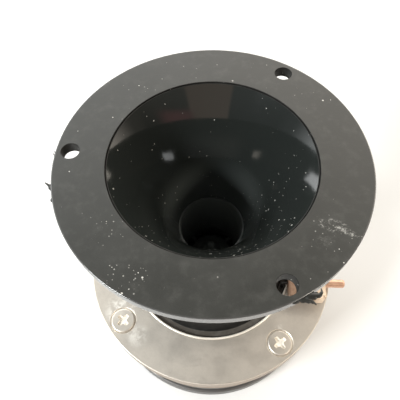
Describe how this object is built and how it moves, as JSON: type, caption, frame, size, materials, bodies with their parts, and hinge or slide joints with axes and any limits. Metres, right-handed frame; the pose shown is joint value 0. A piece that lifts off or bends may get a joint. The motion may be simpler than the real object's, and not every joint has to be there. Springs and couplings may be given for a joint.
{
  "type": "horn-loaded car tweeter",
  "caption": "Horn-loaded compression tweeter for a car: a black flanged horn clamped to a ferrite-magnet driver by an aluminium ring, with side terminal pins.",
  "frame": {"origin": "centre of the back plate's flat rear face, which the driver stands on", "axes": "+Z along the driver's axis towards the horn's mouth, +X towards the terminal pins, +Y by the right-hand rule"},
  "size_m": [0.1145, 0.11, 0.1314],
  "materials": {
    "black_plastic": "moulded, gloss inside the horn and a fine matte on the flange",
    "cast_aluminium": "die-cast and turned, satin",
    "zinc_steel": "yellow zinc plate",
    "screw_steel": "bright zinc plate",
    "black_steel": "dark zinc plate",
    "ferrite": "ground ferrite, matte",
    "phenolic": "brown paper phenolic",
    "copper": "copper plated",
    "titanium": "satin titanium foil",
    "film": "amber polyimide film",
    "fibre": "grey gasket board",
    "felt": "grey felt"
  },
  "bodies": {
    "driver": {"horn_flange": "black_plastic", "horn_bell": "black_plastic", "throat_housing": "black_plastic", "phase_plug": "black_plastic", "clamp_ring": "cast_aluminium", "ring_screw_1": "screw_steel", "ring_screw_2": "screw_steel", "ring_screw_3": "screw_steel", "ring_screw_4": "screw_steel", "top_plate": "zinc_steel", "magnet": "ferrite", "yoke": "black_steel", "surround": "film", "diaphragm_frame": "phenolic", "horn_gasket": "fibre", "damping_felt": "felt", "coil_lead_positive": "copper", "coil_lead_negative": "copper", "lead_wire_positive": "black_plastic", "lead_wire_negative": "black_plastic", "terminal_block": "phenolic", "block_screw_positive": "screw_steel", "block_screw_negative": "screw_steel", "terminal_pin_positive": "copper", "terminal_pin_negative": "copper"},
    "diaphragm": {"diaphragm_dome": "titanium", "coil_former": "film", "voice_coil": "copper"}
  },
  "joints": [
    {"name": "diaphragm_slide", "type": "slide", "parent": "driver", "child": "diaphragm", "axis": [0, 0, 1], "range_m": [-0.0004, 0.0004], "stiffness_N_per_m": 8000, "deforming": ["surround"]}
  ]
}
